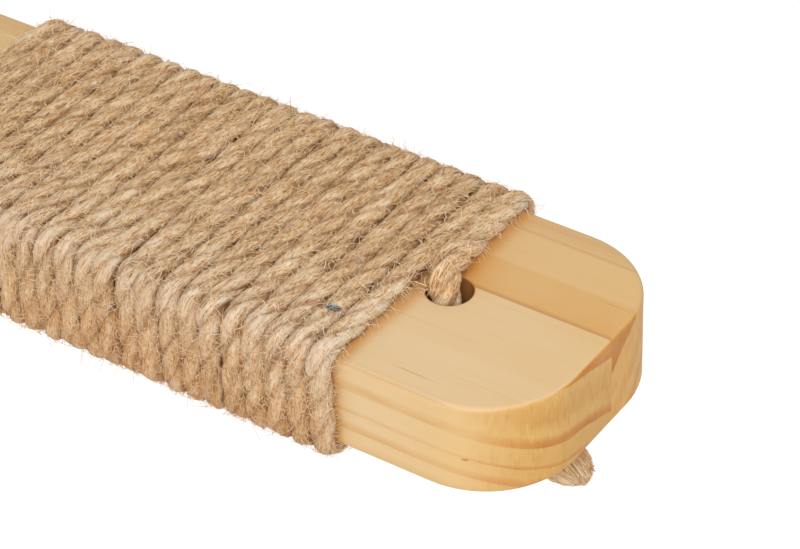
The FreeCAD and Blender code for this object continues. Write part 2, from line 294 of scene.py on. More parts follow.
def pineFinish(name, stave):
    fixed = {"Specular IOR Level": 0.32, "Coat Roughness": 0.3}
    material, base, shader = newFinish(name, fixed)
    colours = pine["colours"]
    x, y, z = objectPlace(base)
    fromWall = y * -1000
    normal = base.node("SeparateXYZ", inputs={0: base.node("TexCoord", out="Normal")})
    flat = abs(normal.other(2)).rise(0.5, 0.9)         # broad faces
    level = base.maths("MAXIMUM", (normal * normal + normal.other(1) ** 2) ** 0.5, 0.05)
    end = (abs(normal.other(1)) / level).rise(0.25, 0.9) * (1 - flat)
    grain = noiseSet(base, (x, y, z), pine["noises"])
    quick = grain["quick"] - 0.5

    def amount(title):
        start, full, most = pine["amounts"][title]
        return grain[title].rise(start, full) * most

    # rings, full on the end, fainter and patchy along the grain
    late = ringDarkness(base, stave, x, z, grain)
    along = flat * (stave["topShare"] - stave["sideShare"]) + stave["sideShare"]
    even = end * 0.6
    share = late * (end * (1 - along) + along) * ((amount("patchy") + 0.6) * (1 - even) + even)
    early = end.blend(stave["earlyLong"], stave["earlyEnd"])
    colour = share.blend(early, end.blend(stave["lateLong"], stave["lateEnd"]))

    # fibres: long streaks on the sides and faces, short upright ones and blotches on the end
    colour = amount("cloud").blend(colour, colours["cloud"])
    colour = ((amount("streak") + amount("thread")) * (1 - end)).blend(colour, colours["grain"])
    colour = (amount("blotch") * end).blend(colour, colours["blotch"])
    colour = (amount("saw") * end).blend(colour, colours["saw"])
    pale = grain["saw"].fall(0.3, 0.46) * end * (0.45 - late * 0.4)
    colour = pale.blend(colour, colours["pale"])

    # more golden towards the free end, painted shade low on the end, brown lines in the broad faces
    gold = (fromWall.rise(236, 280) * 0.3 + 0.13) * (1 - flat) + fromWall.rise(258, 300) * flat * 0.16
    colour = (gold * (1 - share * 0.9)).blend(colour, colours["gold"])
    # painted shade low on the end face
    lower = end * z.fall(-0.016, 0.004)
    colour = (lower * stave["lowEndShade"]).blend(colour, colours["lowEndShade"])
    for place, start, stop, strength, width in stave["lines"]:
        off = abs(x * 1000 - place + quick * 0.9) / width
        run = fromWall.rise(start, start + 8) * fromWall.fall(stop - 12, stop)
        mark = off.fall(0.1, 1.0) * run * flat * (grain["streak"] + 0.5) * strength
        colour = mark.blend(colour, colours["line"])
    if stave["speck"]:
        parts = zip((x, y, z), stave["speck"], (1.0, 0.5477, 1.6))
        dx, dy, dz = ((part - middle) * squash for part, middle, squash in parts)
        spot = ((dx * dx + dy * dy + dz * dz) ** 0.5).fall(0.0003, 0.0012)
        colour = (spot * 0.7).blend(colour, colours["speck"])

    # painted shade with warm bounce light beside the rope's last turns, and painted shade in the bores
    tighter = (1 - flat) * 0.0014
    outwards = fromRope(base, x, y) + quick * 0.003 + tighter
    ropeShade = outwards.fall(0.0988, 0.1047 - tighter) * (0.74 - flat * 0.12)
    colour = ropeShade.blend(colour, colours["ropeShade"])
    off = abs(y + board["middle"]) - board["boreFromMiddle"]
    radius = board["boreRadius"]
    inBore = ((x * x + off * off) ** 0.5).fall(radius + 0.00003, radius + 0.0003)
    colour = (inBore * 0.6).blend(colour, colours["boreShade"])
    feed(shader, "Base Color", colour)
    feed(shader, "Roughness", grain["streak"] * 0.16 + 0.36 + end * 0.14)
    feed(shader, "Coat Weight", 0.18 - end * 0.18)
    height = (grain["streak"] * 0.5 + grain["thread"] * 0.2) * (1 - end)
    feedBump(shader, height + grain["saw"] * end * 0.8 + late * 0.3, *pine["bump"])
    return material


def dress(node, material):
    data = nodes[node].data
    data.materials.clear()
    data.materials.append(material)


dress("board_stave_wide", pineFinish("pineWideStave", wideStave))
dress("board_stave_narrow", pineFinish("pineNarrowStave", narrowStave))
print("pine: two staves")


# zinc-plated steel of the plate, the rods and the screws
zincSteel = {
    "pale": tint(200, 202, 205),
    "dull": tint(174, 176, 181),
    "noises": {"spangle": (260, 260, 260, 2.0, 0.5), "brushed": (2200, 60, 2200, 2.0, 0.5)},
    "roughness": 0.24,
    "bump": (0.2, 0.00008),
}


def zincFinish(name, look):
    material, base, shader = newFinish(name, {"Metallic": 1.0})
    noises = noiseSet(base, objectPlace(base), look["noises"])
    feed(shader, "Base Color", noises["spangle"].rise(0.35, 0.7).blend(look["pale"], look["dull"]))
    feed(shader, "Roughness", noises["brushed"] * 0.2 + noises["spangle"] * 0.12 + look["roughness"])
    feedBump(shader, noises["brushed"], *look["bump"])
    return material


steel = zincFinish("zincSteel", zincSteel)
for node in ("wall_plate", "support_rod_left", "support_rod_right", "lock_screws"):
    dress(node, steel)
print("steel: plate, rods and screws")


# the rope's line from its end at the wall, round the board 24 times, to its cut end
winding = {
    "loops": 24, "firstY": -0.0285, "lastY": -0.2349, "lastNear": 0.0010, "lastFar": 0.0005,
    "runZ": 0.0204, "sideX": 0.0529, "bend": 0.0049, "uneven": 0.00035,
    "belowX": 0.018, "belowShift": 0.0009, "topX": (0.017, -0.014), "topLift": 0.0002,
}
stopper = {"ring": 0.0055, "tube": 0.0032, "turns": 13, "squeeze": 0.79, "openAngle": 0.36,
           "exit": (0.9, 0.002, 0.0029)}
chance = random.Random(24)


def cornerPoints(sideways, upwards, y, fromFlat):
    pull = winding["bend"] * math.tan(math.pi / 8)
    flatX = winding["sideX"] - winding["bend"]
    sideZ = winding["runZ"] - winding["bend"]
    points = [
        (sideways * (flatX - pull), y, upwards * winding["runZ"]),
        (sideways * (flatX + pull), y, upwards * winding["runZ"]),
        (sideways * winding["sideX"], y, upwards * (sideZ + pull)),
        (sideways * winding["sideX"], y, upwards * (sideZ - pull)),
    ]
    return points if fromFlat else points[::-1]


def windingPoints():
    pitch = (winding["firstY"] - winding["lastY"]) / winding["loops"]
    uneven = winding["uneven"]
    points = []
    for loop in range(winding["loops"]):
        last = loop == winding["loops"] - 1
        nearY = winding["firstY"] - loop * pitch + chance.gauss(0, uneven)
        farY = winding["firstY"] - (loop + 1) * pitch + chance.gauss(0, uneven)
        if last:
            nearY -= winding["lastNear"]
            farY = winding["lastY"] - winding["lastFar"]
        points += cornerPoints(-1, 1, nearY, True)
        points += cornerPoints(-1, -1, nearY + chance.gauss(0, uneven), False)
        points.append((-winding["belowX"], nearY - winding["belowShift"], -winding["runZ"]))
        points.append((winding["belowX"], farY + winding["belowShift"], -winding["runZ"]))
        points += cornerPoints(1, -1, farY + chance.gauss(0, uneven), True)
        points += cornerPoints(1, 1, farY, False)
        if not last:
            for x in winding["topX"]:
                points.append((x, farY + chance.gauss(0, uneven), winding["runZ"] + winding["topLift"]))
    return points


def knotPoints(centre, inPlane, across):
    # overhand knot from the standing part down to where its end comes out
    a = Vector(inPlane)
    b = Vector((0, 0, -1))
    c = Vector(across)
    middle = Vector(centre)
    reach, drop, apart = stopper["exit"]
    out = middle + a * (stopper["ring"] + stopper["tube"]) * reach
    turns = []
    for turn in range(stopper["turns"]):
        t = stopper["openAngle"] + 2 * (math.pi - stopper["openAngle"]) * turn / (stopper["turns"] - 1)
        wide = stopper["ring"] + stopper["tube"] * math.cos(3 * t)
        turns.append(middle + a * wide * math.cos(2 * t) + b * wide * math.sin(2 * t)
                     + c * stopper["tube"] * math.sin(3 * t))
    points = [out - b * drop + c * apart] + turns + [out + b * drop - c * apart]
    return [tuple(point) for point in points]


# the tails start in the pressed winding, swell on the top face and turn down through their holes
wallTail = [(0, -0.01857, -0.0178), (0, -0.0200, 0.0020), (0, -0.0216, 0.0140), (0, -0.0222, 0.0205),
            (-0.0045, -0.0244, 0.0230), (-0.014, -0.0266, 0.0220), (-0.024, -0.0276, 0.0212),
            (-0.034, -0.0280, 0.0205)]
freeTail = [(0.034, -0.2354, 0.0205), (0.024, -0.2359, 0.0212), (0.014, -0.2366, 0.0222),
            (0.0040, -0.2382, 0.0234), (-0.0008, -0.2398, 0.0208), (-0.0010, -0.2402, 0.0140),
            (-0.0006, -0.2420, 0.0020), (0, -0.24483, -0.0178)]
wallEnd = [(-0.0175, -0.0188, -0.0352), (-0.0105, -0.0196, -0.0350), (-0.0045, -0.0222, -0.0345)]
freeEnd = [(-0.0044, -0.2500, -0.0345), (-0.0030, -0.2565, -0.0352), (0.0006, -0.2660, -0.0353),
           (0.0020, -0.2764, -0.0376), (0.0027, -0.2842, -0.0397), (0.0033, -0.2918, -0.0418)]
wallKnot = knotPoints((0, -0.0156, -0.0282), (0, -1, 0), (1, 0, 0))
freeKnot = knotPoints((0.003, -0.2452, -0.0282), (-1, 0, 0), (0, 1, 0))
ropeRoute = wallEnd + wallKnot[::-1] + wallTail + windingPoints() + freeTail + freeKnot + freeEnd


def splinePoints(name, points, fineness):
    curve = bpy.data.curves.new(name, "CURVE")
    curve.dimensions = "3D"
    curve.resolution_u = fineness
    spline = curve.splines.new("NURBS")
    spline.points.add(len(points) - 1)
    for spot, point in zip(spline.points, points):
        spot.co = (*point, 1.0)
    spline.order_u = 3
    spline.use_endpoint_u = True
    holder = bpy.data.objects.new(name, curve)
    mesh = bpy.data.meshes.new_from_object(holder)
    found = np.zeros(len(mesh.vertices) * 3)
    mesh.vertices.foreach_get("co", found)
    bpy.data.objects.remove(holder)
    bpy.data.curves.remove(curve)
    bpy.data.meshes.remove(mesh)
    return found.reshape(-1, 3)


ropeStep = 0.0014
raw = splinePoints("ropeLine", ropeRoute, 40)
rawAlong = np.concatenate([[0], np.cumsum(np.linalg.norm(np.diff(raw, axis=0), axis=1))])
places = np.arange(0, rawAlong[-1], ropeStep)
line = np.stack([np.interp(places, rawAlong, raw[:, axis]) for axis in range(3)], axis=1)
count = len(line)
print("rope line: %.3f m, %d points" % (rawAlong[-1], count))


def unit(rows):
    return rows / np.maximum(np.linalg.norm(rows, axis=-1, keepdims=True), 1e-9)


def smooth(values, low, high):
    part = ((values - low) / (high - low)).clip(0, 1)
    return part * part * (3 - 2 * part)


def carriedFrame(points):
    # directions across the line that turn with it and don't twist
    forward = unit(np.gradient(points, axis=0))
    sideways = np.zeros_like(points)
    sideways[0] = unit(np.cross(forward[0], (0.3, 0.5, 0.8)))
    for index in range(1, len(points)):
        kept = sideways[index - 1] - forward[index] * np.dot(sideways[index - 1], forward[index])
        sideways[index] = kept / np.linalg.norm(kept)
    return forward, sideways, np.cross(forward, sideways)


def placeOf(point):
    return int(np.argmin(np.linalg.norm(line - np.array(point), axis=1)))


def slowChance(seed, every):
    # slow random values from -1 to 1 along the rope, a new one every few steps
    dice = np.random.default_rng(seed)
    values = dice.uniform(-1, 1, int(count / every) + 4)
    spots = np.arange(count) / every
    low = spots.astype(int)
    part = smooth(spots - low, 0, 1)
    return values[low] * (1 - part) + values[low + 1] * part


# three strands laid round the rope's line, pressed flat and side by side where the rope is wound
# chance: seed, steps from value to value, amount
jute = {
    "lay": 0.041, "strand": 0.0029, "helix": 0.0014, "sides": 14,
    "press": 0.6, "spread": 1.06, "sideSpread": 0.05, "sideMat": 0.3,
    "swell": 1.28, "bareSide": 0.85, "besideTail": 0.033,
    "chance": {"lay": (5, 26, 0.7), "angle": (40, 9, 0.16), "thin": (60, 5, 0.06), "thick": (80, 12, 0.08),
               "oval": (90, 8, 3), "lobed": (95, 6, 4)},
}
crest = jute["helix"] + jute["strand"]
ahead, side, over = carriedFrame(line)
away = unit(np.cross((0, 1, 0), ahead))
marks = {
    "wallKnot": placeOf(wallTail[0]),
    "wallSwell": placeOf(wallTail[5]),
    "wallJoin": placeOf((-0.032, -0.0280, 0.0205)),
    "freeJoin": placeOf((0.032, -0.2354, 0.0205)),
    "freeSwell": placeOf(freeTail[2]),
    "freeKnot": placeOf(freeTail[-1]),
    "freeStretch": placeOf((-0.0026, -0.2478, -0.0245)),
    "freeEnd": placeOf(freeEnd[1]),
    "freeCut": placeOf(freeEnd[3]),
}
steps = np.arange(count)


def alongRope(*stations):
    # values between stations: a mark, steps beyond it, the value there
    return np.interp(steps, [marks[title] + beyond for title, beyond, value in stations],
                     [value for title, beyond, value in stations])


def strandChance(title, strand=0):
    seed, every, amount = jute["chance"][title]
    return amount * slowChance(seed + strand, every)


squeeze, spread, swell = stopper["squeeze"], jute["spread"], jute["swell"]
thickness = alongRope(
    ("wallKnot", 0, squeeze), ("wallKnot", 10, 1), ("wallSwell", 0, swell), ("wallJoin", 16, spread),
    ("freeJoin", -34, spread), ("freeSwell", 0, swell), ("freeSwell", 22, swell), ("freeKnot", -6, 1),
    ("freeKnot", 3, squeeze), ("freeEnd", -6, squeeze), ("freeEnd", 4, 1))
press = alongRope(
    ("wallSwell", -4, 1), ("wallJoin", 8, jute["press"]),
    ("freeJoin", -10, jute["press"]), ("freeSwell", 4, 1))
wound = (1 - press) / (1 - jute["press"])
onSide = wound * np.abs(away[:, 0])
thickness = thickness + jute["sideSpread"] * onSide
gapShare = wound - jute["sideMat"] * onSide

# the outermost turns, less what lies beside a tail
oneTurn = round(count / (winding["loops"] + 1.5))
besideTail = round(jute["besideTail"] / ropeStep)
lastTurn = ((steps > marks["freeJoin"] - oneTurn + besideTail) & (steps < marks["freeSwell"])) * 1.0
firstTurn = ((steps > marks["wallSwell"]) & (steps < marks["wallJoin"] + oneTurn - besideTail)) * 1.0

# painted sheen: the rope is painted paler at the corners, most at the front ones, and near the front edge,
# where the key light catches it
turning = np.linalg.norm(np.gradient(ahead, axis=0), axis=1) / ropeStep
bend = np.convolve((turning * winding["bend"]).clip(0, 1) * wound, np.ones(7) / 6, "same").clip(0, 1)
front = (line[:, 0] < 0) * (line[:, 2] > 0)
bend = bend * np.where(front, 1.0, 0.4)
nearFront = smooth(-line[:, 0], 0.0, 0.045) * smooth(line[:, 2], -0.010, 0.015) * wound
paintedSheen = np.maximum(bend * np.where(front, 1.0, 0.6), 0.32 * nearFront)

# strands: deeper in the loose tail, opening towards the cut end
tail = alongRope(("freeSwell", -8, 0), ("freeSwell", 2, 1), ("freeSwell", 16, 1), ("freeSwell", 24, 0))
fromCut = (steps - marks["freeCut"] + 3).clip(0) * ropeStep
openUp = np.interp(fromCut, [0, 0.004, 0.009, 0.014, 0.020], [0, 0.6, 1.0, 1.0, 0.6])
core = np.interp(fromCut, [0, 0.004, 0.016], [1, 0.95, 0.6])
helixRadius = jute["helix"] * thickness * (1 + 0.25 * tail)
strandRadius = jute["strand"] * thickness * (1 - 0.09 * tail)
twist = 1 - 0.6 * openUp + 0.5 * tail
phase = np.cumsum(2 * math.pi / jute["lay"] * twist) * ropeStep + strandChance("lay")


def besideWood(sideways, last, first):
    # share of the outermost turns' outer sides, with no other turn next to them, where less painted shade
    # goes between turns
    return jute["bareSide"] * (last * smooth(-sideways, 0.1, 0.7) + first * smooth(sideways, 0.1, 0.7))


def openness(reach, height, share):
    # 1 on the strands' crests, less between strands, 0 between turns; reach and height in crests; what is
    # not open is painted as shade
    gap = share * (1 - smooth(height, -0.1, 0.74))
    return (0.28 + 0.72 * smooth(reach, 0.72, 0.94)) * (1 - gap)


def layStrand(strand):
    # one strand's centre line, the rings of points round it and how open each point lies
    dice = np.random.default_rng(70 + strand)
    angle = phase + strand * 2 * math.pi / 3 + strandChance("angle", strand)
    outward = np.cos(angle)[:, None] * side + np.sin(angle)[:, None] * over
    centre = line + outward * (helixRadius * (1 + 1.3 * openUp))[:, None]
    forward = unit(np.gradient(centre, axis=0))
    outward = unit(outward - forward * np.sum(outward * forward, axis=1, keepdims=True))
    beside = np.cross(forward, outward)
    thick = strandRadius * core * (1 + strandChance("thin", strand) + strandChance("thick", strand))
    theta = -math.pi + 2 * math.pi * np.arange(jute["sides"]) / jute["sides"]
    lump = 1 + 0.05 * np.cos(2 * theta + strandChance("oval", strand)[:, None])
    lump = lump + 0.04 * np.cos(3 * theta + strandChance("lobed", strand)[:, None])
    lump = lump + dice.normal(0, 0.014, lump.shape)
    around = np.cos(theta)[:, None] * outward[:, None] + np.sin(theta)[:, None] * beside[:, None]
    offset = centre[:, None] + (thick[:, None] * lump)[..., None] * around - line[:, None]
    height = np.sum(offset * away[:, None], axis=-1)
    full = crest * thickness[:, None]
    bare = besideWood(offset[..., 1] / full, lastTurn[:, None], firstTurn[:, None])
    shown = openness(np.linalg.norm(offset, axis=-1) / full, height / full, gapShare[:, None] * (1 - bare))
    rings = line[:, None] + offset + away[:, None] * (height * (press - 1)[:, None])[..., None]
    rings[0] = rings[1].mean(axis=0)                  # both cut ends are closed
    rings[count - 3] = rings[count - 4].mean(axis=0)
    return {"rings": rings, "shown": shown, "centre": centre, "outward": outward, "beside": beside}


strands = [layStrand(strand) for strand in range(3)]
print("strands: lay", jute["lay"])

quadCorners = [(0, 0), (0, 1), (1, 1), (1, 0)]        # steps along and round to a face's corners


def pair(first, second):
    return np.stack([first, second], axis=-1)


def addPiece(name, points, spans, corner, material):
    # points are rings round strands or fibres; corner gives the three maps at one corner of the faces
    total, rings, sides = points.shape[:3]
    item, ring, turn = np.meshgrid(*map(np.arange, (total, rings - 1, spans)), indexing="ij")
    faces = []
    maps = []
    for step, across in quadCorners:
        faces.append((item * rings + ring + step) * sides + (turn + across) % sides)
        maps.append(corner(item, ring, step, turn + across))
    mesh = bpy.data.meshes.new(name)
    mesh.from_pydata(points.reshape(-1, 3).tolist(), [], np.stack(faces, axis=-1).reshape(-1, 4).tolist())
    for title, corners in zip(("fibre", "OFBake", "open"), zip(*maps)):
        spots = np.stack(corners, axis=-2).astype(np.float32)
        mesh.uv_layers.new(name=title).data.foreach_set("uv", spots.ravel())
    mesh.materials.append(material)
    mesh.polygons.foreach_set("use_smooth", [True] * len(mesh.polygons))
    mesh.update()
    piece = bpy.data.objects.new(name, mesh)
    scene.collection.objects.link(piece)
    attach(piece, "root")
    return piece


def strandPiece(name, start, stop, which, material):
    # a stretch of one or more strands as one mesh
    sides = jute["sides"]
    rings = stop - start
    girth = 2 * math.pi * jute["strand"]
    slant = 2 * math.pi * crest / jute["lay"] - 0.14
    rows = max(1, round(math.sqrt(rings * ropeStep * len(which) / girth)))
    perRow = math.ceil(rings * len(which) / rows)
    shown = np.stack([strands[strand]["shown"] for strand in which])

    def corner(order, ring, step, turn):
        share = turn / sides
        here = start + ring + step
        # metres along the strand, and metres round it with most of the lay taken out
        along = here * ropeStep
        fibre = pair(along, (share - 0.5) * girth + along * slant + np.array(which)[order] * 0.37)
        run = ring + order * rings
        bake = pair(0.004 + 0.992 * (run % perRow + step) / perRow,
                    (run // perRow + 0.06 + 0.88 * share) / (rows + 1))
        return fibre, bake, pair(shown[order, here, turn % sides], paintedSheen[here])

    points = np.stack([strands[strand]["rings"][start:stop] for strand in which])
    return addPiece(name, points, sides, corner, material)


# noise: cycles in a metre along and round a strand, place on a third axis, detail, roughness
juteLook = {
    "stops": [(0.40, tint(144, 90, 48)), (0.48, tint(202, 146, 91)), (0.55, tint(233, 186, 132)),
              (0.62, tint(247, 210, 162)), (0.72, tint(253, 234, 204))],
    "orange": tint(204, 138, 78), "ash": tint(196, 166, 126), "creviceShade": tint(154, 94, 50),
    "sheen": tint(248, 234, 212), "side": tint(210, 148, 86),
    "wander": {"wander": (160, 300, 2.0, 1.0, 0.5)},
    "noises": {
        "fine": (600, 4000, 0.0, 2.0, 0.65), "bundle": (220, 1500, 3.0, 2.0, 0.6),
        "lump": (150, 400, 5.0, 2.0, 0.5), "patch": (45, 230, 7.0, 2.0, 0.5),
        "hue": (60, 520, 11.0, 2.0, 0.5),
    },
    "tone": {"fine": 0.82, "bundle": 0.68, "lump": 0.4, "patch": 0.22},
    "height": {"fine": 0.8, "bundle": 0.9, "lump": 0.5},
    "bump": (1.0, 0.0007),
}


def openColour(base, tone, stops, look, streaks):
    # painted sheen, paler in patches where the key light catches the bends, painted light on the outermost
    # turns, which lie in shade beside the board, and browner on the sides
    shown, sheenShare = mapPlace(base, "open")
    x, y, z = objectPlace(base)
    # painted sheen: paler patches where the key light catches the bends
    sheen = sheenShare * streaks.rise(0.36, 0.54) * shown
    outwards = fromRope(base, x, y)
    # painted light on the outermost turns, which lie in shade beside the board
    outerTurnLight = outwards.rise(0.0925, 0.098) * outwards.fall(0.1015, 0.1035)
    outerTurnLight = outerTurnLight * abs(x - 0.003).rise(0.009, 0.016)          # not beside a tail
    colour = base.node("ValToRGB", {"stops": stops}, {0: tone + sheen * 0.15 + outerTurnLight * 0.08})
    colour = (sheen * 0.6).blend(colour, look["sheen"])
    sideShare = abs(x).rise(0.0480, 0.0545) * (z.fall(-0.020, 0.004) * 0.2 + 0.24)
    return sideShare.blend(colour, look["side"]), shown


def shadedCrevices(colour, shown, look):
    # painted shade, brown, deep between turns and strands
    return ((1 - shown) * 0.9).blend(colour, look["creviceShade"])


def weighed(noises, weights):
    return sum(noises[title] * weight for title, weight in weights.items())


def juteFinish(name, look):
    material, base, shader = newFinish(name, {"Specular IOR Level": 0.15})
    u, v = mapPlace(base, "fibre")
    wander = noiseSet(base, (u, v, 1.0), look["wander"])["wander"] - 0.5
    noises = noiseSet(base, (u, v + wander * 0.0016, 1.0), look["noises"])
    tone = weighed(noises, look["tone"]) - 0.45
    streaks = noises["lump"] * 0.4 + noises["fine"] * 0.6
    colour, shown = openColour(base, tone, look["stops"], look, streaks)
    colour = (noises["hue"].rise(0.54, 0.74) * 0.5).blend(colour, look["orange"])
    colour = (noises["hue"].fall(0.28, 0.44) * 0.35).blend(colour, look["ash"])
    feed(shader, "Base Color", shadedCrevices(colour, shown, look))
    feed(shader, "Roughness", 0.82 - noises["fine"] * 0.3)
    feedBump(shader, weighed(noises, look["height"]), *look["bump"])
    return material


ropeFinish = juteFinish("juteRope", juteLook)
for strand in range(3):
    name = "rope_strand_%d" % (strand + 1)
    turns = strandPiece(name, marks["wallJoin"], marks["freeJoin"] + 1, [strand], ropeFinish)
    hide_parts("rope_winding")
stretches = {
    "rope_knot_at_wall": (0, marks["wallKnot"] + 1, ["rope_knot_wall_end"]),
    "rope_tail_at_wall": (marks["wallKnot"], marks["wallJoin"] + 1, ["rope_tail_wall_end"]),
    "rope_tail_in_hole": (marks["freeJoin"], marks["freeKnot"] + 1, ["rope_tail_free_end"]),
    "rope_knot_under_hole": (marks["freeKnot"], marks["freeStretch"] + 1, ["rope_knot_free_end"]),
    "rope_free_end": (marks["freeStretch"], count - 2, ["rope_free_stretch", "rope_cut_end"]),
}
for name, (first, last, solids) in stretches.items():
    piece = strandPiece(name, first, last, [0, 1, 2], ropeFinish)
    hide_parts(*solids)
print("rope: winding, tails and knots")


# loose fibres: some lie along the rope, some cross it, some stand off it, and the cut ends are brushes
# a pair is the least and the most, but for lean (middle, scatter); sunk is how deep a fibre starts
fuzz = {
    "lying": {"number": 12000, "reach": (0.002, 0.007), "lean": (0.14, 0.22), "lift": (0.0001, 0.0005),
              "sunk": 0.00012, "width": (0.00014, 0.00028), "slim": 0.12},
    "crossing": {"number": 12000, "onTop": 0.65, "reach": (0.0015, 0.0065), "lift": (-0.0003, 0.0004),
                 "sunk": 0.0002, "curve": 0.5, "droop": 0.0009, "width": (0.00014, 0.00025), "slim": 0.15},
    "stray": {"number": 8000, "radius": (0.00008, 0.00014), "sunk": 0.0003, "out": (0.02, 0.5),
              "along": 0.8, "across": 0.7, "curl": (0.3, 1.2), "gamma": (3.0, 0.0015), "longest": 0.008},
    "edge": {"number": 420, "radius": (0.00007, 0.00012), "reach": (0.0012, 0.0042), "sunk": 0.0003,
             "along": 0.6, "climb": (-0.2, 0.7), "sag": (0.6, 1.4), "curl": 0.25},
    "brush": {"number": 640, "radius": (0.00008, 0.00014), "length": (1.06, 1.15), "flare": 0.7,
              "gather": 0.32, "dome": 0.36, "across": 0.0072, "wave": 0.0009},
}
threads = {"number": 30, "from": (-0.0350, -0.2166, 0.0229), "to": (-0.0326, -0.2217, 0.0229),
           "lift": 0.0006, "scatter": (0.0005, 0.0004, 0.0002), "width": (0.0001, 0.00016), "slim": 0.15}
roof = [(-0.5, 0.0), (0.0, 0.4), (0.5, 0.0)]
fibreShare = np.linspace(0, 1, 5)                     # points along a fibre
onward = fibreShare[:, None]


def roundSection(sides):
    angles = [2 * math.pi * side / sides for side in range(sides)]
    return [(math.cos(angle), math.sin(angle)) for angle in angles]


def spindle(dice, look, wanted):
    # thickest in the middle
    share = look["slim"] + (1 - 2 * look["slim"]) * fibreShare
    return dice.uniform(*look["width"], (wanted, 1)) * np.sin(math.pi * share)


def tapered(dice, look, wanted):
    return dice.uniform(*look["radius"], (wanted, 1)) * (1 - 0.6 * fibreShare)


def emerging(shown, pace, sheen):
    # as deep in the painted shade as the rope where a fibre starts, open further on, with a share of the
    # rope's painted sheen
    rising = np.minimum(fibreShare * pace, 1)
    return pair(shown[:, :1] * (1 - rising) + rising, sheen * shown[:, 1:] + 0 * rising)


def inTheOpen(wanted):
    return np.tile((1.0, 0.0), (wanted, len(fibreShare), 1))


def repeated(rows):
    return np.repeat(rows[:, None], len(fibreShare), axis=1)


def between(rows, spots):
    low = np.clip(spots.astype(int), 0, count - 2)
    part = spots - low
    if rows.ndim > 1:
        part = part[..., None]
    return rows[low] * (1 - part) + rows[low + 1] * part


def wayOut(spots, angle):
    return np.cos(angle)[..., None] * between(side, spots) + np.sin(angle)[..., None] * between(over, spots)


def ropeSurface(spots, angle, lift):
    # points on the laid strands at an angle round the line, the way out there, how open they lie and their
    # share of painted sheen
    off = np.mod(angle - between(phase, spots) + math.pi / 3, 2 * math.pi / 3) - math.pi / 3
    helix = between(helixRadius, spots)
    radius = helix * np.cos(off) + np.sqrt(between(strandRadius, spots) ** 2 - (helix * np.sin(off)) ** 2)
    out = unit(wayOut(spots, angle))
    up = between(away, spots)
    level = np.sum(out * up, axis=-1)
    reach = radius / (crest * between(thickness, spots))
    bare = besideWood(reach * out[..., 1], between(lastTurn, spots), between(firstTurn, spots))
    share = between(gapShare, spots) * (1 - bare)
    shown = pair(openness(reach, reach * level, share), between(paintedSheen, spots))
    raised = radius + lift
    flatter = level * raised * (between(press, spots) - 1)
    return between(line, spots) + out * raised[..., None] + up * flatter[..., None], out, shown


def fibreStarts(dice, wanted, low, high, room, facing=-0.2):
    # random places on the rope's outer side, none inside a hole or against the board
    spots = dice.uniform(low, high - room, wanted * 3)
    angle = dice.uniform(0, 2 * math.pi, wanted * 3)
    outer = np.sum(wayOut(spots, angle) * between(away, spots), axis=1) > facing
    inWinding = (spots > marks["wallSwell"]) & (spots < marks["freeSwell"])
    inHole = ~inWinding & (np.abs(between(line, spots)[:, 2]) < board["halfHigh"])
    good = np.where((outer | ~inWinding) & ~inHole)[0][:wanted]
    return spots[good], angle[good]


def clearOfBoard(points):
    # lifts points that would be inside the board out through its nearest broad face or side
    x, y, z = points[..., 0], points[..., 1], points[..., 2]
    depthX = board["halfWide"] + 0.0002 - np.abs(x)
    depthZ = board["halfHigh"] + 0.0002 - np.abs(z)
    inside = (depthX > 0) & (depthZ > 0) & (y < 0) & (y > -board["length"])
    upwards = inside & (depthZ < depthX)
    sideways = inside & ~upwards
    z[upwards] = np.sign(z[upwards]) * (board["halfHigh"] + 0.0003)
    x[sideways] = np.sign(x[sideways]) * (board["halfWide"] + 0.0003)
    return points


def sweep(name, paths, outs, widths, section, shown, material, dice):
    # carries a small section along many paths at once
    total, rings = paths.shape[:2]
    corners = np.array(section)
    spans = len(section) - (section is roof)              # the roof is open below
    forward = unit(np.gradient(paths, axis=1))
    beside = unit(np.cross(forward, outs))
    upright = np.cross(beside, forward)
    around = corners[:, :1] * beside[:, :, None] + corners[:, 1:] * upright[:, :, None]
    points = paths[:, :, None] + around * widths[:, :, None, None]
    shade = dice.uniform(0, 1, total)
    perRow = math.ceil(math.sqrt(total))

    def corner(fibre, ring, step, turn):
        along = (ring + step) / (rings - 1)
        bake = pair((fibre % perRow + 0.08 + 0.84 * along) / perRow,
                    (fibre // perRow + 0.08 + 0.84 * turn / spans) / perRow)
        return pair(shade[fibre], along), bake, shown[fibre, ring + step]

    return addPiece(name, points, spans, corner, material)


def fibreFinish(name, stops, look):
    material, base, shader = newFinish(name, {"Specular IOR Level": 0.2})
    u, v = mapPlace(base, "fibre")
    own = noiseSet(base, (u, v, 0.0), {"own": (900, 1.5, 0.0, 1.0, 0.5)})["own"]
    colour, shown = openColour(base, own, stops, look, own)
    feed(shader, "Base Color", shadedCrevices(colour, shown, look))
    feed(shader, "Roughness", 0.75 - own * 0.2)
    return material


def lyingFibres(dice, look, low, high):
    # along the rope, each leaning a little from the rope's own direction
    spots, angle = fibreStarts(dice, look["number"], low, high, 8)
    wanted = len(spots)
    reach = dice.uniform(*look["reach"], (wanted, 1))
    lean = dice.normal(*look["lean"], (wanted, 1))
    turned = angle[:, None] + reach * np.sin(lean) * fibreShare / crest
    lift = dice.uniform(*look["lift"], (wanted, 1)) * np.sin(math.pi * fibreShare) - look["sunk"]
    along = (spots[:, None] + reach * np.cos(lean) * fibreShare / ropeStep).clip(0, count - 2)
    paths, outs, shown = ropeSurface(along, turned, lift)
    return paths, outs, spindle(dice, look, wanted), roof, shown


